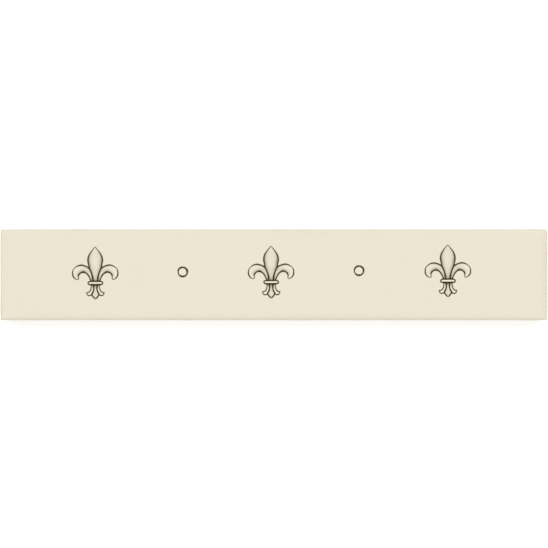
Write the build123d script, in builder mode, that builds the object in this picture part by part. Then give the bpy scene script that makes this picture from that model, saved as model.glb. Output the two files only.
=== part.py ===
"""Glazed ceramic border tile, pressed and fired as one piece.

It lies on its bed, face up: X runs along the length, Y across the width and Z out of the
face. The origin is the middle of the bed, the plane that the wall adhesive meets.
"""

import os
from math import radians, tan

from build123d import *

# Driving dimensions, in millimetres and degrees
tile_length = 152.4  # a six inch border
tile_width = 25.4  # one inch high on the wall
tile_thickness = 7.0
corner_radius = 0.3  # the four corners, seen from the front

cushion_width = 1.5  # the face rolls off over this band inside each edge
cushion_drop = 0.32  # and falls this far by the edge
arris_radius = 0.35  # softened edge between the cushion and the side

edge_land = 2.2  # square part of the side, below the arris
side_draft = 2.0  # the rest leans in towards the bed, so that the die lets go
bed_chamfer = 0.5  # broken edge round the bed

key_rows = 2  # shallow pockets pressed into the back, for the adhesive to grip
key_columns = 13
key_depth = 0.6
key_rim = 2.0  # flat margin between the bed's edge and the pockets
key_rib = 1.6  # flat rib between two pockets
key_corner = 1.0
key_draft = 25.0  # slope of the pocket walls

# Worked out from the sizes above
side_foot = bed_chamfer  # height where the drafted side meets the bed's chamfer
side_head = tile_thickness - cushion_drop - edge_land  # height where the draft begins
side_lean = (side_head - side_foot) * tan(radians(side_draft))
bed_inset = side_lean + bed_chamfer  # from the widest line of the tile in to the bed's edge


def pressed_section(span, plane):
    """The tile's section across a side of this span: flat bed, leaning side, cushioned face."""
    edge = span / 2
    arris_height = tile_thickness - cushion_drop
    with BuildSketch(plane) as section:
        with BuildLine():
            face = Line((0, tile_thickness), (edge - cushion_width, tile_thickness))
            TangentArc(face @ 1, (edge, arris_height), tangent=face % 1)
            Polyline(
                (edge, arris_height),
                (edge, side_head),
                (edge - side_lean, side_foot),
                (edge - bed_inset, 0),
                (0, 0),
            )
            mirror(about=Plane.YZ)
        make_face()
        arrises = section.vertices().filter_by(lambda corner: abs(corner.Y - arris_height) < 1e-6)
        fillet(arrises, arris_radius)
    return section.sketch


def key_span(bed, count):
    """One pocket's length, where this many share the bed between the two rims."""
    return (bed - 2 * key_rim - (count - 1) * key_rib) / count


# The whole tile: its outline, cut to the pressed section both ways, then keyed on the back
cross_section = pressed_section(tile_width, Plane.YZ)
long_section = pressed_section(tile_length, Plane.XZ)
pocket_length = key_span(tile_length - 2 * bed_inset, key_columns)
pocket_width = key_span(tile_width - 2 * bed_inset, key_rows)

with BuildPart() as border_tile:
    with BuildSketch():
        RectangleRounded(tile_length, tile_width, corner_radius)
    extrude(amount=tile_thickness)
    extrude(cross_section, amount=tile_length / 2, both=True, mode=Mode.INTERSECT)
    extrude(long_section, amount=tile_width / 2, both=True, mode=Mode.INTERSECT)
    with BuildSketch():
        with GridLocations(pocket_length + key_rib, pocket_width + key_rib, key_columns, key_rows):
            RectangleRounded(pocket_length, pocket_width, key_corner)
    extrude(amount=key_depth, taper=key_draft, mode=Mode.SUBTRACT)

border_tile.part.label = "border_tile"
os.makedirs("parts", exist_ok=True)
export_step(border_tile.part, "parts/border_tile.step")
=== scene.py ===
"""Looks of the glazed border tile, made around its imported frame.

The fired piece is drawn again with a finer mesh: its cushioned face and the upper part of its
sides are under glaze, and the rest is bare biscuit. The printed ornament, three fleurs-de-lis
with a small ring between each two, is a thin film of ink on the face.
"""

from math import ceil, cos, pi, radians, sin, sqrt, tan

import bpy
import numpy as np
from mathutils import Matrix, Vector
from mathutils.geometry import delaunay_2d_cdt


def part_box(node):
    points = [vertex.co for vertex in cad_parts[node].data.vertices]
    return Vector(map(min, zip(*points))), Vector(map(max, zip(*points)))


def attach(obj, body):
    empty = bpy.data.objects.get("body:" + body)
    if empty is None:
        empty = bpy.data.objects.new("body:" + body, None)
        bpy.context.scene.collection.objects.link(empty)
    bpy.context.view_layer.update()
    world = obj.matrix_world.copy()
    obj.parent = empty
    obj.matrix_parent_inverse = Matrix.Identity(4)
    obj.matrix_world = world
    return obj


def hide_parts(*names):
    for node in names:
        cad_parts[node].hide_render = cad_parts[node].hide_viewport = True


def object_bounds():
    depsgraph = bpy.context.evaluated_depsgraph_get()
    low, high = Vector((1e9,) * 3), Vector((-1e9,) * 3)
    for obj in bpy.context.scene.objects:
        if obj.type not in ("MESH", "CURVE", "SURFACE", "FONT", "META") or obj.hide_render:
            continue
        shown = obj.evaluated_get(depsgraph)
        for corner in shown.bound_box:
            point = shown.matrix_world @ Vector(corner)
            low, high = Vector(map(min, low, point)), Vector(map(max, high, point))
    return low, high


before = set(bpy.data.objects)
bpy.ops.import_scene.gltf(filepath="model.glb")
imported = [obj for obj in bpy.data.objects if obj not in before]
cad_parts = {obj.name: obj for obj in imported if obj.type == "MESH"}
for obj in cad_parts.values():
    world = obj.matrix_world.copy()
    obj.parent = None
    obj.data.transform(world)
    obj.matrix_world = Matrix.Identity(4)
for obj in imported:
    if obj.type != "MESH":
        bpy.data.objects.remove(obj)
cad_low, cad_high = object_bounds()

MM = 0.001

# The tile's section, as in the part's source
tile_low, tile_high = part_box("border_tile")
tile_length, tile_width, tile_thickness = tile_high - tile_low
corner_radius = 0.3 * MM
cushion_width = 1.5 * MM
cushion_drop = 0.32 * MM
arris_radius = 0.35 * MM
edge_land = 2.2 * MM
side_draft = radians(2)
bed_chamfer = 0.5 * MM
corner_blend = 4  # how sharply the falls of two edges meet at a corner
key_rows = 2
key_columns = 13
key_depth = 0.6 * MM
key_rim = 2.0 * MM
key_rib = 1.6 * MM
key_corner = 1.0 * MM
key_draft = radians(25)

# Worked out from the section
cushion_radius = (cushion_width**2 + cushion_drop**2) / (2 * cushion_drop)
arris_centre_drop = cushion_radius - sqrt(
    (cushion_radius - arris_radius) ** 2 - (cushion_width - arris_radius) ** 2
)
arris_slope = (cushion_width - arris_radius) / (cushion_radius - arris_radius)  # sine of its angle
arris_reach = cushion_width - cushion_radius * arris_slope
side_head = tile_thickness - cushion_drop - edge_land
side_lean = (side_head - bed_chamfer) * tan(side_draft)
bed_inset = side_lean + bed_chamfer
key_wall = key_depth * tan(key_draft)

# How finely the mesh is divided
arris_lines = 7
cushion_lines = 8
side_lines = 8
lip_lines = (-0.08 * MM, 0.02 * MM, key_wall / 2, key_wall, key_wall + 0.10 * MM)  # a pocket's wall
corner_lines = (0.65 * key_corner, key_corner)
floor_inset = 1.9 * key_corner  # where a pocket's even floor begins
floor_step = 1.3 * MM
sharp_angle = radians(38)  # edges that turn by more than this stay crisp

# The glaze: slow waves on the face, a bead inside the edges, a wavering end on the sides
wave_height = 0.010 * MM
wave_length = 13.0 * MM
ripple_height = 0.003 * MM
ripple_length = 4.0 * MM
bead_height = 0.008 * MM
bead_inset = 2.4 * MM
bead_spread = 0.8 * MM
thin_glaze_and_shade_reach = 0.45 * MM  # the glaze runs thin over the arris and thickens inside it; its darker colour there is partly painted shade along the edges
glaze_thickness = 0.09 * MM
glaze_end = 4.95 * MM  # height above the bed where the glaze stops on the sides
glaze_waver = 0.35 * MM
waver_length = 9.0 * MM
flutter_length = 2.6 * MM
flutter_share = 0.5
glaze_roll_height = 0.12 * MM  # its end is rounded from here down
glaze_roll = ((0.25, 0.05 * MM), (0.60, 0.01 * MM), (1.0, 0.0))  # share of its thickness, and rise
bed_waver = 0.04 * MM
ink_height = 0.022 * MM
ink_depth = 0.030 * MM
wash_height = 0.010 * MM
face_level = tile_thickness - wave_height - ripple_height - bead_height - ink_height

# Seeds of what is left to chance
wave_seed = 3
ripple_seed = 4
waver_seed = 7
flutter_seed = 8
hand_seed = 21
petal_hatch_seed = 31
side_hatch_seed = 32

# Colours, as linear red, green and blue
ivory_pale = (0.733, 0.685, 0.561)
ivory_deep = (0.713, 0.667, 0.547)
# Where the glaze runs thin over the arris: partly its own colour, partly painted shade along the tile's
# edges
ivory_thin_and_shade = (0.575, 0.54, 0.425)
print_shade = (0.20, 0.16, 0.085)
print_light = (0.88, 0.85, 0.75)
print_bleed = (0.15, 0.090, 0.006)
clay_pale = (0.60, 0.51, 0.38)
clay_deep = (0.50, 0.41, 0.29)
clay_speck = (0.36, 0.27, 0.17)
ink_deep = (0.016, 0.009, 0.001)
ink_pale = (0.038, 0.025, 0.006)
floor_white = (0.94, 0.94, 0.94)

# Ranges in the materials: where most of a noise lies, and what it is mapped to
noise_middle = (0.3, 0.7)
speck_range = (0.62, 0.72)
patch_range = (0.35, 0.70)
speck_strength = (0, 0.55)
bleed_strength = (0, 0.9)
glaze_roughness = (0.13, 0.20)
biscuit_roughness = (0.80, 0.95)
ink_roughness = (0.18, 0.30)

# The print: a row of motifs, a little up, left and turned on the tile, each set one by one
print_shift = Vector((-0.67 * MM, 0.98 * MM))
print_turn = radians(0.4)
fleur_pitch = 49.10 * MM
fleur_spots = {  # along the row and across it
    "left": (-fleur_pitch + 0.06 * MM, 0.03 * MM),
    "middle": (-0.06 * MM, -0.06 * MM),
    "right": (fleur_pitch + 0.08 * MM, -0.03 * MM),
}
ring_shift = -0.13 * MM  # the rings stand a little left of half-way
ring_spots = {"left": (-fleur_pitch / 2 + ring_shift, 0), "right": (fleur_pitch / 2 + ring_shift, 0)}

# Centre lines of the fleur's right half: x, y and line width in millimetres, from its middle
petal_edge = (
    (0.00, 7.08, 0.15), (0.52, 6.47, 0.21), (1.37, 5.36, 0.30), (1.66, 4.80, 0.35),
    (1.90, 4.30, 0.34), (2.02, 3.50, 0.37), (1.99, 2.90, 0.36), (1.88, 2.30, 0.32),
    (1.78, 1.75, 0.29), (1.68, 1.22, 0.40), (1.34, 0.52, 0.38), (1.06, -0.15, 0.38),
    (0.84, -0.90, 0.40), (0.71, -1.50, 0.48), (0.63, -2.40, 0.44),
)
side_outer = (
    (1.70, 1.16, 0.34), (2.35, 1.58, 0.36), (3.10, 1.87, 0.34), (3.95, 2.03, 0.38),
    (4.75, 1.86, 0.32), (5.45, 1.46, 0.24), (6.00, 0.95, 0.21), (6.24, 0.36, 0.28),
    (6.30, -0.30, 0.34), (6.18, -1.02, 0.34), (5.68, -1.66, 0.28), (5.12, -1.96, 0.20),
    (4.80, -1.94, 0.20), (4.66, -1.72, 0.20),
)
side_inner = (
    (4.66, -1.72, 0.20), (4.73, -1.15, 0.28), (4.60, -0.70, 0.38), (4.33, -0.31, 0.36),
    (3.85, -0.04, 0.36), (3.25, 0.03, 0.38), (2.75, -0.10, 0.36), (2.30, -0.42, 0.38),
    (1.95, -0.80, 0.38), (1.60, -1.45, 0.32), (1.22, -2.40, 0.36),
)
collar_edge = (
    (0.00, -2.48, 0.40), (1.10, -2.50, 0.38), (1.66, -2.57, 0.36), (1.98, -2.80, 0.33),
    (2.00, -3.08, 0.33), (1.74, -3.35, 0.37), (1.10, -3.41, 0.42), (0.00, -3.41, 0.42),
)
collar_shadow = ((0.40, -3.52, 0.20), (0.85, -3.54, 0.36), (1.15, -3.52, 0.20))
stem_edge = (
    (0.45, -3.50, 0.40), (0.46, -4.00, 0.42), (0.45, -4.50, 0.36), (0.50, -4.95, 0.36),
    (0.70, -5.50, 0.40), (1.06, -6.18, 0.40),
)
stem_tip = ((1.06, -6.18, 0.38), (0.75, -6.62, 0.34), (0.40, -7.08, 0.36), (0.00, -7.44, 0.16))
curl_outer = (
    (1.17, -3.50, 0.22), (1.19, -4.25, 0.24), (1.28, -4.75, 0.26), (1.50, -5.20, 0.28),
    (1.80, -5.50, 0.29), (2.13, -5.63, 0.27), (2.43, -5.62, 0.22),
)
curl_under = (
    (2.43, -5.62, 0.20), (2.38, -5.95, 0.22), (2.18, -6.26, 0.26), (1.84, -6.47, 0.29),
    (1.46, -6.44, 0.28), (1.06, -6.20, 0.32),
)
ring_radius = 1.28
ring_line = 0.42
ring_points = 73
ring_weight = (  # swells of the line round the ring: how many, how strong, where heaviest
    (1, 0.10, radians(22)), (2, 0.10, radians(90)), (3, 0.15, radians(20)),
)
ink_share = 0.77  # a line's solid ink, as a share of the width given for it
bleed_share = 1.65  # and how wide its brown has spread into the glaze
hand_swell = 0.09  # a line swells and thins by this share, as one drawn by hand does
hand_length = 0.9
cap_points = 7  # round each end of a line

# Hatching: where along the line it starts and stops, and its strokes
petal_hatch = {
    "start": 0.22, "stop": 0.58, "count": 17, "length": 0.75, "lean": radians(-62), "width": 0.05,
    "seed": petal_hatch_seed,
}
side_hatch = {
    "start": 0.39, "stop": 0.54, "count": 8, "length": 0.60, "lean": radians(-78), "width": 0.10,
    "seed": side_hatch_seed,
}
hatch_sway = 0.12  # a stroke leans up to this angle more or less
hatch_reach = (0.7, 1.15)  # and is between these shares of the length
hatch_bend = 0.12
hatch_taper = (1.0, 0.7, 0.3)  # its width at the root, half-way and at the tip

# Soft tones inside the outlines: above 0 a brown shade, below 0 a whiter light. Each has the
# strength that it would have on the line it comes from, and the distance over which it fades
left_share = 0.9  # the left flanks of the petal and stem are shaded this much as the right ones
edge_shade = (0.48, 0.50)
edge_top = 5.4  # height up to which the petal is shaded inside its edge
flank_shade = (0.55, 0.45)
flank_span = (0.6, 3.7)  # heights between which it is shaded more
petal_root_shade = (0.95, 0.42)
stem_root_shade = (1.90, 0.50)
side_root_shade = (0.80, 0.85)
curl_root_shade = (1.30, 0.65)
stem_shade = (0.28, 0.26)
stem_shade_top = -5.4  # below this the stem is shaded inside its edges
arc_shade = (1.05, 0.33)
arc_span = (-0.75, 2.65)  # lowest height and least x of the side petals' inner line that is shaded
behind_shade = (0.60, 0.28)  # the side petals, where they pass behind the middle one
shoulder_shade = (0.45, 0.35)
shoulder_end = 4.3  # and their outer line from the petal as far as here
rim_light = (-0.28, 0.45)
stem_tone = 0.06
collar_light = -0.34
curl_light = -0.12
ring_light = -0.10

# The light: brightness of the dome from the horizon, 0, to straight overhead, 1
dome_band = ((0.0, 0.20), (0.26, 0.24), (0.60, 1.0), (0.85, 1.0), (0.97, 0.12))
dome_strength = 1.71
toward_bright = Vector((-0.35, 0.94, 0.0))
bright_side = 1.3
dim_side = 0.7
softboxes = 4  # round the dome, with dimmer gaps between, so that the gloss has something to show
softbox_turn = pi  # one stands at each diagonal
softbox_bright = 1.7
softbox_gap = 0.3
softbox_edge = 0.25  # half-width of their soft edges
horizon_glow = 1.2  # a thin bright ring, so that the floor has no dark end
horizon_height = 0.06
floor_reach = 12.0
floor_glow = 0.25  # a faint light from the floor, which keeps the shadow round the tile pale


def ripples(x, y, length, seed):
    """Smooth unevenness between -1 and 1, with swells about this long."""
    draw = np.random.default_rng(seed)
    waves = 6
    stretch_range = (0.7, 1.4)
    total = np.zeros(np.broadcast(x, y).shape)
    for _ in range(waves):
        heading = draw.uniform(0, 2 * pi)
        stretch = draw.uniform(*stretch_range)
        phase = draw.uniform(0, 2 * pi)
        along = x * cos(heading) + y * sin(heading)
        total += np.sin(2 * pi * along / (length * stretch) + phase)
    return total / waves


def ramp(value, start, end):
    """Smooth rise from 0 at start to 1 at end."""
    share = np.clip((value - start) / (end - start), 0, 1)
    return share * share * (3 - 2 * share)


def new_piece(name, points, faces, materials):
    """A mesh object that rides on the tile, with these materials."""
    mesh = bpy.data.meshes.new(name)
    mesh.from_pydata(points, [], faces)
    for material in materials:
        mesh.materials.append(material)
    mesh.shade_smooth()
    mesh.set_sharp_from_angle(angle=sharp_angle)
    piece = bpy.data.objects.new(name, mesh)
    bpy.context.scene.collection.objects.link(piece)
    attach(piece, "root")
    return piece


def set_tone(piece, name, values):
    """Stores one number for each vertex, for the materials to read."""
    piece.data.attributes.new(name, "FLOAT", "POINT").data.foreach_set("value", values)


# The tile's form


def edge_fall(inset):
    """How far the face has fallen, this far inside an edge."""
    into_arris = np.clip(arris_radius - inset, 0, arris_radius)
    into_cushion = np.clip(cushion_width - inset, 0, cushion_width)
    arris = arris_centre_drop - np.sqrt(arris_radius**2 - into_arris**2)
    cushion = cushion_radius - np.sqrt(cushion_radius**2 - into_cushion**2)
    return np.where(inset < arris_reach, arris, cushion)


def edge_insets():
    """Where the face is divided beside an edge: over the arris, over the cushion, then inside."""
    arris_angle = np.arcsin(arris_slope)
    arris = arris_radius * (1 - np.sin(np.linspace(pi / 2, arris_angle, arris_lines)))
    cushion = cushion_width - cushion_radius * np.sin(np.linspace(arris_angle, 0, cushion_lines))
    return [*arris, *cushion[1:]]


def key_pockets(bed, count):
    """Where the pockets on the back begin along one side of the bed, and how long each is."""
    span = (bed - 2 * key_rim - (count - 1) * key_rib) / count
    return [-bed / 2 + key_rim + i * (span + key_rib) for i in range(count)], span


def grid_lines(side, count):
    """Where the mesh is divided along one side: at the edges, at the pockets' walls and between."""
    bed = side - 2 * bed_inset
    starts, span = key_pockets(bed, count)
    lip = np.array(lip_lines)
    corner = np.array(corner_lines)
    floor = np.linspace(floor_inset, span - floor_inset, ceil(span / floor_step))
    pocket = np.concatenate((lip, corner, floor, span - corner, span - lip))
    on_bed = np.concatenate([start + pocket for start in starts])
    insets = np.array(edge_insets())
    near = np.concatenate((insets - side / 2, side / 2 - insets))
    return np.sort(np.concatenate((near, on_bed * side / bed)))


def round_corners(x, y):
    """Draws the grid's square corners in to the tile's rounded ones."""
    across = tile_length / 2 - corner_radius
    along = tile_width / 2 - corner_radius
    u = np.clip((np.abs(x) - across) / corner_radius, 0, 1)
    v = np.clip((np.abs(y) - along) / corner_radius, 0, 1)
    new_x = np.where(u > 0, across + corner_radius * u * np.sqrt(1 - v**2 / 2), np.abs(x))
    new_y = np.where(v > 0, along + corner_radius * v * np.sqrt(1 - u**2 / 2), np.abs(y))
    return np.sign(x) * new_x, np.sign(y) * new_y


def glaze_relief(x, y):
    """The glaze's own unevenness on the flat of the face."""
    waves = wave_height * ripples(x, y, wave_length, wave_seed)
    return waves + ripple_height * ripples(x, y, ripple_length, ripple_seed)


def face_height(x, y):
    """Height of the glazed face above the bed."""
    inset_x = np.maximum(tile_length / 2 - np.abs(x), 0)
    inset_y = np.maximum(tile_width / 2 - np.abs(y), 0)
    falls = edge_fall(inset_x) ** corner_blend + edge_fall(inset_y) ** corner_blend
    fall = falls ** (1 / corner_blend)
    inset = np.minimum(inset_x, inset_y)
    bead = bead_height * np.exp(-(((inset - bead_inset) / bead_spread) ** 2))
    return face_level - fall + bead + glaze_relief(x, y) * ramp(inset, 0, bead_inset)


def bed_height(x, y):
    """Height of the back above the bed's plane: nothing, or a pocket's depth."""
    height = np.zeros(x.shape)
    starts_x, span_x = key_pockets(tile_length - 2 * bed_inset, key_columns)
    starts_y, span_y = key_pockets(tile_width - 2 * bed_inset, key_rows)
    for start_x in starts_x:
        for start_y in starts_y:
            out_x = np.abs(x - start_x - span_x / 2) - span_x / 2 + key_corner
            out_y = np.abs(y - start_y - span_y / 2) - span_y / 2 + key_corner
            corner = np.hypot(np.maximum(out_x, 0), np.maximum(out_y, 0))
            outside = corner + np.minimum(np.maximum(out_x, out_y), 0) - key_corner
            height = np.maximum(height, key_depth * ramp(-outside, 0, key_wall))
    return height


def side_rows(rim_height, waver):
    """The side from the arris down to the bed: rows of inset and height, and if glaze covers them."""
    glaze_foot = glaze_end + glaze_waver * waver
    body_foot = bed_chamfer + bed_waver * waver
    steps = np.linspace(0, 1, side_lines + 1)[1:]
    rows = []
    for share in steps:
        rows.append((0, rim_height + share * (glaze_foot + glaze_roll_height - rim_height), True))
    for share, rise in glaze_roll:
        rows.append((share * glaze_thickness, glaze_foot + rise, True))
    for share in steps:
        inset = glaze_thickness + share * (side_lean - glaze_thickness)
        rows.append((inset, glaze_foot + share * (body_foot - glaze_foot), False))
    for share in (0.5, 1.0):
        rows.append((side_lean + share * bed_chamfer, body_foot * (1 - share), False))
    return rows


def grid_faces(columns, rows, first, face_up):
    """Faces of a grid of points that are numbered along y first."""
    faces = []
    for i in range(columns - 1):
        for j in range(rows - 1):
            a = first + i * rows + j
            quad = (a, a + rows, a + rows + 1, a + 1)
            faces.append(quad if face_up else quad[::-1])
    return faces


def rim_indices(columns, rows):
    """The grid's outline, anticlockwise from above."""
    front = [i * rows for i in range(columns)]
    right = [(columns - 1) * rows + j for j in range(1, rows)]
    back = [i * rows + rows - 1 for i in range(columns - 2, -1, -1)]
    left = list(range(rows - 2, 0, -1))
    return np.array(front + right + back + left)


def make_tile(glaze, biscuit):
    """The whole fired piece as one closed mesh: glazed face, sides and keyed back."""
    lines_x = grid_lines(tile_length, key_columns)
    lines_y = grid_lines(tile_width, key_rows)
    columns, rows = len(lines_x), len(lines_y)
    square_x, square_y = (part.ravel() for part in np.meshgrid(lines_x, lines_y, indexing="ij"))
    x, y = round_corners(square_x, square_y)
    face_z = face_height(square_x, square_y)
    shrink_x = 1 - 2 * bed_inset / tile_length
    shrink_y = 1 - 2 * bed_inset / tile_width
    bed_x, bed_y = x * shrink_x, y * shrink_y
    bed_z = bed_height(bed_x, bed_y)

    rim = rim_indices(columns, rows)
    rim_x, rim_y = x[rim], y[rim]
    waver = ripples(rim_x, rim_y, waver_length, waver_seed)
    waver += flutter_share * ripples(rim_x, rim_y, flutter_length, flutter_seed)
    points = [np.column_stack((x, y, face_z)), np.column_stack((bed_x, bed_y, bed_z))]
    count = columns * rows
    faces = grid_faces(columns, rows, 0, True) + grid_faces(columns, rows, count, False)
    glazed = [True] * (len(faces) // 2) + [False] * (len(faces) // 2)

    inset = np.minimum(tile_length / 2 - np.abs(square_x), tile_width / 2 - np.abs(square_y))
    # How thin the glaze is near the edges; the glaze material darkens it there, partly as painted shade
    # along the edges
    thin = [np.exp(-inset / thin_glaze_and_shade_reach), np.zeros(count)]
    upper = rim
    first = 2 * count
    levels = side_rows(face_z[rim], waver)
    for level, (row_inset, height, under_glaze) in enumerate(levels):
        if level == len(levels) - 1:
            lower = rim + count
        else:
            lower = first + np.arange(len(rim))
            first += len(rim)
            scale_x = 1 - 2 * row_inset / tile_length
            scale_y = 1 - 2 * row_inset / tile_width
            points.append(np.column_stack((rim_x * scale_x, rim_y * scale_y, height)))
            # and on the sides just under the rim, darkened in the same way, partly as painted shade
            thin.append(np.exp(-(face_z[rim] - height) / thin_glaze_and_shade_reach))
        for a, b, c, d in zip(upper, lower, np.roll(lower, -1), np.roll(upper, -1)):
            faces.append((a, b, c, d))
            glazed.append(under_glaze)
        upper = lower

    tile = new_piece("glazed_tile", np.concatenate(points), faces, (glaze, biscuit))
    tile.data.polygons.foreach_set("material_index", [0 if flag else 1 for flag in glazed])
    set_tone(tile, "thin_glaze_and_shade", np.concatenate(thin))
    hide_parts("border_tile")


# The printed ornament, drawn in millimetres


def smooth_line(knots):
    """A curve through these points, with the line's width carried along it."""
    spans_each = 7
    knots = np.array(knots)
    padded = np.vstack((2 * knots[0] - knots[1], knots, 2 * knots[-1] - knots[-2]))
    pull = (padded[2:] - padded[:-2]) / 2
    line = []
    for i in range(len(knots) - 1):
        for t in np.linspace(0, 1, spans_each, endpoint=False):
            line.append(
                (2 * t**3 - 3 * t**2 + 1) * knots[i]
                + (t**3 - 2 * t**2 + t) * pull[i]
                + (3 * t**2 - 2 * t**3) * knots[i + 1]
                + (t**3 - t**2) * pull[i + 1]
            )
    line.append(knots[-1])
    return np.array(line)


def mirrored(line):
    """The same line on the other side of the fleur's axis."""
    return line * (-1, 1, 1)


def heading_of(line):
    """Unit vectors along a line, at each of its points."""
    step = np.gradient(line[:, :2], axis=0)
    return step / np.linalg.norm(step, axis=1, keepdims=True)


def ribbon(line, share):
    """A line at this share of its width, as small convex outlines: its spans and round ends."""
    along = heading_of(line)
    across = np.column_stack((-along[:, 1], along[:, 0]))
    hand = 1 + hand_swell * ripples(line[:, 0], line[:, 1], hand_length, hand_seed)
    reach = across * (share * line[:, 2] * hand / 2)[:, None]
    left, right = line[:, :2] + reach, line[:, :2] - reach
    shapes = [(right[i], right[i + 1], left[i + 1], left[i]) for i in range(len(line) - 1)]
    for end, way in ((0, -1), (-1, 1)):
        turn = np.linspace(-pi / 2, pi / 2, cap_points)[:, None]
        cap = along[end] * way * np.cos(turn) + across[end] * way * np.sin(turn)
        shapes.append(line[end, :2] + cap * np.linalg.norm(reach[end]))
    return shapes


def hatching(line, start, stop, count, length, lean, width, seed):
    """Short tapered strokes from one side of a line, between two shares of its length."""
    draw = np.random.default_rng(seed)
    along = heading_of(line)
    strokes = []
    for share in np.linspace(start, stop, count):
        place = int(round(share * (len(line) - 1)))
        angle = lean + draw.uniform(-hatch_sway, hatch_sway)
        aim = np.array(((cos(angle), -sin(angle)), (sin(angle), cos(angle)))) @ along[place]
        reach = length * draw.uniform(*hatch_reach)
        root = line[place, :2]
        bend = hatch_bend * reach * np.array((-aim[1], aim[0]))
        knots = (root, root + reach * aim / 2 + bend, root + reach * aim)
        strokes.append(smooth_line([(*knot, thin * width) for knot, thin in zip(knots, hatch_taper)]))
    return strokes


def joined(shapes, inner_points=()):
    """Overlapping outlines as one flat mesh: its points and triangles."""
    weld = 1e-5  # points nearer to each other than this are one
    points, faces = [], []
    for shape in shapes:
        shape = np.array(shape)
        turn = np.roll(shape, -1, axis=0)
        if np.sum(shape[:, 0] * turn[:, 1] - shape[:, 1] * turn[:, 0]) < 0:
            shape = shape[::-1]
        faces.append(list(range(len(points), len(points) + len(shape))))
        points.extend(Vector(point) for point in shape)
    points.extend(Vector(point) for point in inner_points)
    flat, _, triangles, _, _, sources = delaunay_2d_cdt(points, [], faces, 0, weld)
    kept = [triangle for triangle, source in zip(triangles, sources) if source]
    used = sorted({index for triangle in kept for index in triangle})
    order = {index: place for place, index in enumerate(used)}
    kept = [tuple(order[index] for index in triangle) for triangle in kept]
    return np.array([flat[index][:] for index in used]), kept


def print_place(flat, spot):
    """Puts a drawing on the tile, at this spot along and across the print's row: x and y in metres."""
    x = flat[:, 0] * MM + spot[0]
    y = flat[:, 1] * MM + spot[1]
    turned_x = x * cos(print_turn) - y * sin(print_turn)
    turned_y = x * sin(print_turn) + y * cos(print_turn)
    return turned_x + print_shift.x, turned_y + print_shift.y


def film(name, drawing, spot, height, material):
    """A flat drawing as a thin closed film on the glaze."""
    flat, triangles = drawing
    x, y = print_place(flat, spot)
    level = face_height(x, y)
    count = len(flat)
    points = np.vstack(
        (np.column_stack((x, y, level + height)), np.column_stack((x, y, level - ink_depth)))
    )
    faces = list(triangles)
    faces += [tuple(index + count for index in triangle[::-1]) for triangle in triangles]
    edges = {(t[i], t[(i + 1) % 3]) for t in triangles for i in range(3)}
    faces += [(b, a, a + count, b + count) for a, b in edges if (b, a) not in edges]
    return new_piece(name, points, faces, (material,))


def both_sides(*lines):
    """Lines of the right half, and the same lines on the left."""
    return [*lines, *(mirrored(line) for line in lines)]


def end_to_end(*lines):
    """Lines that follow on from each other, as one line."""
    return np.vstack((*(line[:-1] for line in lines[:-1]), lines[-1]))


def mirror_closed(line):
    """A line and its mirror image, as one closed outline."""
    return end_to_end(line, mirrored(line)[::-1])


def lit_from_left(sources):
    """Shading along lines of the right half, and weaker along the same lines on the left."""
    left = [(mirrored(line), left_share * strength, reach) for line, strength, reach in sources]
    return [*sources, *left]


def fleur_lines():
    """Every inked line of one fleur-de-lis."""
    petal = smooth_line(petal_edge)
    inner = smooth_line(side_inner)
    return both_sides(
        petal,
        inner,
        smooth_line(side_outer),
        smooth_line(collar_edge),
        smooth_line(collar_shadow),
        smooth_line(stem_edge),
        smooth_line(stem_tip),
        smooth_line(curl_outer),
        smooth_line(curl_under),
        *hatching(petal, **petal_hatch),
        *hatching(inner, **side_hatch),
    )


def fleur_regions():
    """The fleur's closed shapes: outline, even tone, and the lines that shade or light it."""
    petal = smooth_line(petal_edge)
    outer = smooth_line(side_outer)
    inner = smooth_line(side_inner)
    collar = smooth_line(collar_edge)
    stem = end_to_end(smooth_line(stem_edge), smooth_line(stem_tip))
    curl = end_to_end(smooth_line(curl_outer), smooth_line(curl_under), smooth_line(stem_edge)[::-1])
    petal_foot = petal[petal[:, 1] < side_outer[0][1]][::-1]
    flank = petal[(petal[:, 1] > flank_span[0]) & (petal[:, 1] < flank_span[1])]
    arc = inner[(inner[:, 1] > arc_span[0]) & (inner[:, 0] > arc_span[1])]
    shoulder = np.argmax(outer[:, 0] > shoulder_end)
    petal_sources = [(petal[petal[:, 1] < edge_top], *edge_shade), (flank, *flank_shade)]
    stem_sources = [(stem[stem[:, 1] < stem_shade_top], *stem_shade)]
    side_sources = [
        (arc, *arc_shade),
        (petal_foot, *behind_shade),
        (outer[:shoulder], *shoulder_shade),
        (outer[shoulder:], *rim_light),
        (collar, *side_root_shade),
    ]
    curl_sources = [(collar, *curl_root_shade)]
    regions = [
        (mirror_closed(petal), 0, [*lit_from_left(petal_sources), (collar, *petal_root_shade)]),
        (mirror_closed(collar), collar_light, []),
        (mirror_closed(stem), stem_tone, [*lit_from_left(stem_sources), (collar, *stem_root_shade)]),
    ]
    side = end_to_end(outer, inner, petal_foot)
    for outline, level, sources in ((side, 0, side_sources), (curl, curl_light, curl_sources)):
        regions.append((outline, level, sources))
        other_side = [(mirrored(line), strength, reach) for line, strength, reach in sources]
        regions.append((mirrored(outline), level, other_side))
    return regions


def ring_outline():
    """The line of the small ring, heavier in places as a hand-drawn one is."""
    around = np.linspace(0, 2 * pi, ring_points)
    weight = np.ones(len(around))
    for swells, strength, heaviest in ring_weight:
        weight += strength * np.cos(swells * (around - heaviest))
    x, y = ring_radius * np.cos(around), ring_radius * np.sin(around)
    return np.column_stack((x, y, ring_line * weight))


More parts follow.
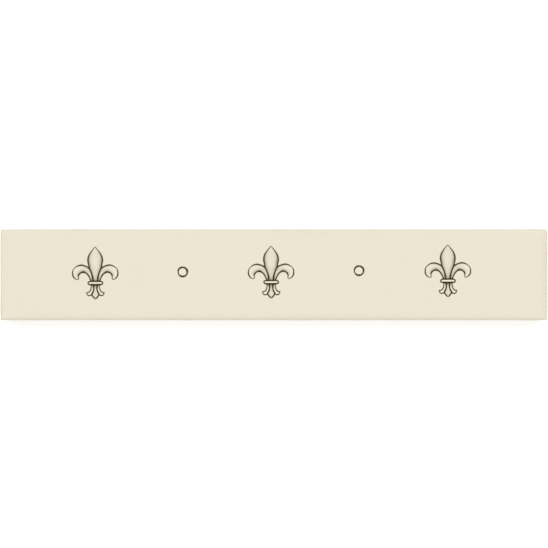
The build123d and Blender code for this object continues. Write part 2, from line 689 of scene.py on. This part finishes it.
def far_from(points, line):
    """Distance of points from a line, and the line's width at the nearest place."""
    nearest = np.full(len(points), np.inf)
    width = np.zeros(len(points))
    for start, end in zip(line[:-1], line[1:]):
        span = end - start
        share = np.clip((points - start[:2]) @ span[:2] / (span[:2] @ span[:2]), 0, 1)
        gap = np.linalg.norm(points - start[:2] - share[:, None] * span[:2], axis=1)
        width = np.where(gap < nearest, start[2] + share * span[2], width)
        nearest = np.minimum(nearest, gap)
    return nearest, width


def within(points, outline):
    """Which points lie inside a closed outline."""
    x, y = points[:, 0], points[:, 1]
    inside = np.zeros(len(points), bool)
    for (ax, ay), (bx, by) in zip(outline, np.roll(outline, -1, axis=0)):
        if ay != by:
            crosses = (ay > y) != (by > y)
            inside ^= crosses & (x < (bx - ax) * (y - ay) / (by - ay) + ax)
    return inside


def draw_lines(lines):
    """Inked lines as one flat mesh."""
    return joined([shape for line in lines for shape in ribbon(line, ink_share)])


def draw_wash(lines, regions):
    """What lies under the ink: the brown that bled out of the lines, and the soft tones between.

    Returns the flat mesh, and the bleed and the tone at each of its points.
    """
    shapes = [outline[:, :2] for outline, _, _ in regions]
    for line in lines:
        shapes += ribbon(line, ink_share)
        shapes += ribbon(line, bleed_share)
    spacing = 0.15
    reach = max(np.abs(shape).max() for shape in shapes)
    steps = np.arange(-reach, reach, spacing)
    grid = np.array([(x, y) for x in steps for y in steps])
    grid = grid[np.any([within(grid, outline[:, :2]) for outline, _, _ in regions], axis=0)]
    flat, triangles = joined(shapes, grid)
    bleed = np.zeros(len(flat))
    for line in lines:
        gap, width = far_from(flat, line)
        bleed = np.maximum(bleed, 1 - ramp(2 * gap / width, ink_share, bleed_share))
    tone = np.zeros(len(flat))
    for outline, level, sources in regions:
        inside = within(flat, outline[:, :2])
        tone[inside] = level
        for line, strength, fade in sources:
            gap, width = far_from(flat, line)
            tone[inside] += strength * np.exp(-gap[inside] / fade)
    return (flat, triangles), bleed, tone


def make_motif(name, lines, regions, spots, ink, glaze):
    """One printed motif at each of its places along the row: its wash, and its lines over that."""
    ink_drawing = draw_lines(lines)
    wash_drawing, bleed, tone = draw_wash(lines, regions)
    for side, spot in spots.items():
        film(f"{name}_line_{side}", ink_drawing, spot, ink_height, ink)
        wash = film(f"{name}_wash_{side}", wash_drawing, spot, wash_height, glaze)
        set_tone(wash, "ink_bleed", np.tile(bleed, 2))
        set_tone(wash, "wash_tone", np.tile(tone, 2))


def make_print(ink, glaze):
    """Three fleurs, and the two rings between them."""
    make_motif("fleur", fleur_lines(), fleur_regions(), fleur_spots, ink, glaze)
    ring = ring_outline()
    make_motif("ring", [ring], [(ring[:-1], ring_light, [])], ring_spots, ink, glaze)


# Materials


def new_material(name):
    """A material with nodes: its tree and its shader."""
    material = bpy.data.materials.new(name)
    material.use_nodes = True
    tree = material.node_tree
    return material, tree, tree.nodes["Principled BSDF"]


def link(tree, source, output, target, entry):
    """Joins two nodes."""
    tree.links.new(source.outputs[output], target.inputs[entry])


def add_noise(tree, size, detail=4.0, roughness=0.55):
    """Noise with features about this many metres across, fixed to the tile."""
    noise = tree.nodes.new("ShaderNodeTexNoise")
    noise.inputs["Scale"].default_value = 1 / size
    noise.inputs["Detail"].default_value = detail
    noise.inputs["Roughness"].default_value = roughness
    place = tree.nodes.new("ShaderNodeTexCoord")
    link(tree, place, "Object", noise, "Vector")
    return noise


def add_range(tree, source, output, low, high, to_low, to_high):
    """Maps a node's values from one range to another."""
    span = tree.nodes.new("ShaderNodeMapRange")
    span.inputs["From Min"].default_value = low
    span.inputs["From Max"].default_value = high
    span.inputs["To Min"].default_value = to_low
    span.inputs["To Max"].default_value = to_high
    link(tree, source, output, span, "Value")
    return span


def add_mix(tree, factor, output, first, second):
    """Mixes two colours by a node's value. Either colour may be a node."""
    mix = tree.nodes.new("ShaderNodeMix")
    mix.data_type = "RGBA"
    link(tree, factor, output, mix, 0)
    for entry, colour in ((6, first), (7, second)):
        if isinstance(colour, tuple):
            mix.inputs[entry].default_value = (*colour, 1)
        else:
            tree.links.new(colour.outputs[2], mix.inputs[entry])
    return mix


def add_bump(tree, source, output, shader, strength, distance, before=None):
    """Bumps the surface by a node's value, on top of an earlier bump."""
    bump = tree.nodes.new("ShaderNodeBump")
    bump.inputs["Strength"].default_value = strength
    bump.inputs["Distance"].default_value = distance
    link(tree, source, output, bump, "Height")
    if before:
        link(tree, before, "Normal", bump, "Normal")
    link(tree, bump, "Normal", shader, "Normal")
    return bump


def add_math(tree, operation, *values):
    """Works out one value from nodes' values and plain numbers."""
    node = tree.nodes.new("ShaderNodeMath")
    node.operation = operation
    for entry, value in enumerate(values):
        if isinstance(value, tuple):
            link(tree, *value, node, entry)
        else:
            node.inputs[entry].default_value = value
    return node


def add_attribute(tree, name):
    """Reads a number that the mesh stores for each vertex."""
    attribute = tree.nodes.new("ShaderNodeAttribute")
    attribute.attribute_name = name
    return attribute


def glaze_material():
    """Ivory glaze: faint mottling, thinner and darker over the arris (partly painted shade along the
    tile's edges), and the soft tones of the print.
    """
    material, tree, shader = new_material("ivory_glaze")
    mottle = add_noise(tree, size=14 * MM, detail=3.0)
    ivory = add_mix(tree, mottle, "Fac", ivory_pale, ivory_deep)
    # Darker where the glaze is thin over the arris: partly its own colour, partly painted shade along
    # the edges
    thin = add_range(tree, add_attribute(tree, "thin_glaze_and_shade"), "Fac", 0, 1, 0, 1)
    edged = add_mix(tree, thin, "Result", ivory, ivory_thin_and_shade)
    tone = add_attribute(tree, "wash_tone")
    shade = add_range(tree, tone, "Fac", 0, 1, 0, 1)
    shaded = add_mix(tree, shade, "Result", edged, print_shade)
    light = add_range(tree, tone, "Fac", 0, -1, 0, 1)
    lit = add_mix(tree, light, "Result", shaded, print_light)
    bleed = add_range(tree, add_attribute(tree, "ink_bleed"), "Fac", 0, 1, *bleed_strength)
    bled = add_mix(tree, bleed, "Result", lit, print_bleed)
    tree.links.new(bled.outputs[2], shader.inputs["Base Color"])
    shader.inputs["IOR"].default_value = 1.5
    smear = add_noise(tree, size=6 * MM, detail=3.0)
    gloss = add_range(tree, smear, "Fac", *noise_middle, *glaze_roughness)
    link(tree, gloss, "Result", shader, "Roughness")
    peel = add_noise(tree, size=1.1 * MM, detail=2.0)
    add_bump(tree, peel, "Fac", shader, strength=0.05, distance=0.08 * MM)
    return material


def biscuit_material():
    """Bare fired clay: buff, grainy and dry."""
    material, tree, shader = new_material("buff_biscuit")
    cloud = add_noise(tree, size=9 * MM, detail=5.0)
    clay = add_mix(tree, cloud, "Fac", clay_pale, clay_deep)
    speck = add_noise(tree, size=0.35 * MM, detail=2.0)
    grains = add_range(tree, speck, "Fac", *speck_range, *speck_strength)
    speckled = add_mix(tree, grains, "Result", clay, clay_speck)
    tree.links.new(speckled.outputs[2], shader.inputs["Base Color"])
    dryness = add_range(tree, cloud, "Fac", *noise_middle, *biscuit_roughness)
    link(tree, dryness, "Result", shader, "Roughness")
    grit = add_noise(tree, size=0.22 * MM, detail=4.0, roughness=0.7)
    rough = add_bump(tree, grit, "Fac", shader, strength=0.5, distance=0.06 * MM)
    press = add_noise(tree, size=2.4 * MM, detail=3.0)
    add_bump(tree, press, "Fac", shader, strength=0.3, distance=0.10 * MM, before=rough)
    return material


def ink_material():
    """Dark brown ceramic ink, fired into the glaze, a little uneven in strength."""
    material, tree, shader = new_material("brown_ink")
    patch = add_noise(tree, size=0.5 * MM, detail=3.0)
    strength = add_range(tree, patch, "Fac", *patch_range, 0, 1)
    brown = add_mix(tree, strength, "Result", ink_deep, ink_pale)
    tree.links.new(brown.outputs[2], shader.inputs["Base Color"])
    shader.inputs["Specular IOR Level"].default_value = 0.3
    gloss = add_range(tree, patch, "Fac", *noise_middle, *ink_roughness)
    link(tree, gloss, "Result", shader, "Roughness")
    add_bump(tree, patch, "Fac", shader, strength=0.05, distance=0.05 * MM)
    return material


# Stage: floor, light and camera


def make_floor():
    """A plain pale floor under the tile."""
    material, _, shader = new_material("pale_floor")
    shader.inputs["Base Color"].default_value = (*floor_white, 1)
    shader.inputs["Roughness"].default_value = 0.9
    shader.inputs["Specular IOR Level"].default_value = 0.2
    shader.inputs["Emission Color"].default_value = (1, 1, 1, 1)
    shader.inputs["Emission Strength"].default_value = floor_glow
    corners = ((-1, -1), (1, -1), (1, 1), (-1, 1))
    points = [(x * floor_reach, y * floor_reach, cad_low.z) for x, y in corners]
    mesh = bpy.data.meshes.new("floor")
    mesh.from_pydata(points, [], [(0, 1, 2, 3)])
    mesh.materials.append(material)
    floor = bpy.data.objects.new("floor", mesh)
    bpy.context.scene.collection.objects.link(floor)


def make_light():
    """A soft white dome: softboxes high up, dimmer overhead and low down, brighter back left."""
    world = bpy.data.worlds.new("studio")
    bpy.context.scene.world = world
    world.use_nodes = True
    tree = world.node_tree
    background = tree.nodes["Background"]
    background.inputs["Color"].default_value = (1, 1, 1, 1)
    place = tree.nodes.new("ShaderNodeTexCoord")
    parts = tree.nodes.new("ShaderNodeSeparateXYZ")
    link(tree, place, "Generated", parts, "Vector")
    band = tree.nodes.new("ShaderNodeValToRGB")
    band.color_ramp.interpolation = "EASE"
    stops = band.color_ramp.elements
    while len(stops) < len(dome_band):
        stops.new(0.5)
    for stop, (height, share) in zip(stops, dome_band):
        stop.position = height
        stop.color = (share, share, share, 1)
    link(tree, parts, "Z", band, "Fac")
    toward = tree.nodes.new("ShaderNodeVectorMath")
    toward.operation = "DOT_PRODUCT"
    toward.inputs[1].default_value = toward_bright
    link(tree, place, "Generated", toward, 0)
    lean = add_range(tree, toward, "Value", -1, 1, dome_strength * dim_side, dome_strength * bright_side)
    around = add_math(tree, "ARCTAN2", (parts, "Y"), (parts, "X"))
    turned = add_math(tree, "MULTIPLY_ADD", (around, "Value"), softboxes, softbox_turn)
    wave = add_math(tree, "COSINE", (turned, "Value"))
    boxes = add_range(tree, wave, "Value", -softbox_edge, softbox_edge, softbox_gap, softbox_bright)
    boxes.interpolation_type = "SMOOTHSTEP"
    banded = add_math(tree, "MULTIPLY", (band, "Color"), (lean, "Result"))
    light = add_math(tree, "MULTIPLY", (banded, "Value"), (boxes, "Result"))
    horizon = add_range(tree, parts, "Z", 0, horizon_height, horizon_glow, 0)
    whole = add_math(tree, "MAXIMUM", (light, "Value"), (horizon, "Result"))
    link(tree, whole, "Value", background, "Strength")


def make_camera():
    """Looks straight down on the face, which fills the picture's width as in the photograph."""
    picture_pixels = 548
    pixels_per_mm = 3.5902
    picture_centre = Vector((0.08 * MM, 0.22 * MM))  # on the face, from the tile's middle
    data = bpy.data.cameras.new("camera")
    data.lens = 120
    data.sensor_width = 36
    picture_width = picture_pixels / pixels_per_mm * MM
    distance = picture_width * data.lens / data.sensor_width
    camera = bpy.data.objects.new("camera", data)
    camera.location = (*picture_centre, tile_thickness + distance)
    data.clip_start = distance / 100
    data.clip_end = distance * 100
    bpy.context.scene.collection.objects.link(camera)
    bpy.context.scene.camera = camera
    bpy.context.scene.view_settings.view_transform = "Standard"


glaze = glaze_material()
make_tile(glaze, biscuit_material())
make_print(ink_material(), glaze)
make_floor()
make_light()
make_camera()
